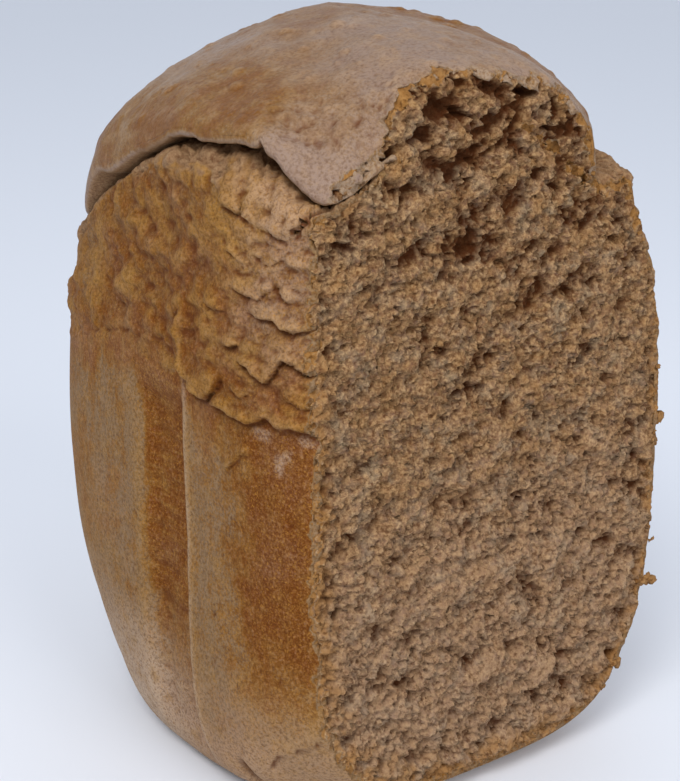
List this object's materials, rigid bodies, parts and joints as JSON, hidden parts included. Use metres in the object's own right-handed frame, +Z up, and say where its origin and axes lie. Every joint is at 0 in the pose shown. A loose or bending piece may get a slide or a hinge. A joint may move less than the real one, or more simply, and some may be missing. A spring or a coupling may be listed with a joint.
{
  "type": "cocoa milk bread pan loaf",
  "caption": "Tall pan loaf of soft brown milk bread with a domed cap, a torn seam under it and one end sliced off to show the crumb.",
  "frame": {"origin": "middle of the pan outline, on the flat spot that the loaf stands on", "axes": "+X along the cut face, +Y from the cut face into the loaf, +Z up"},
  "size_m": [0.1189, 0.1169, 0.177],
  "materials": {
    "bread": "soft matte baked crust and open crumb"
  },
  "bodies": {
    "root": {"loaf": "bread"}
  },
  "joints": []
}
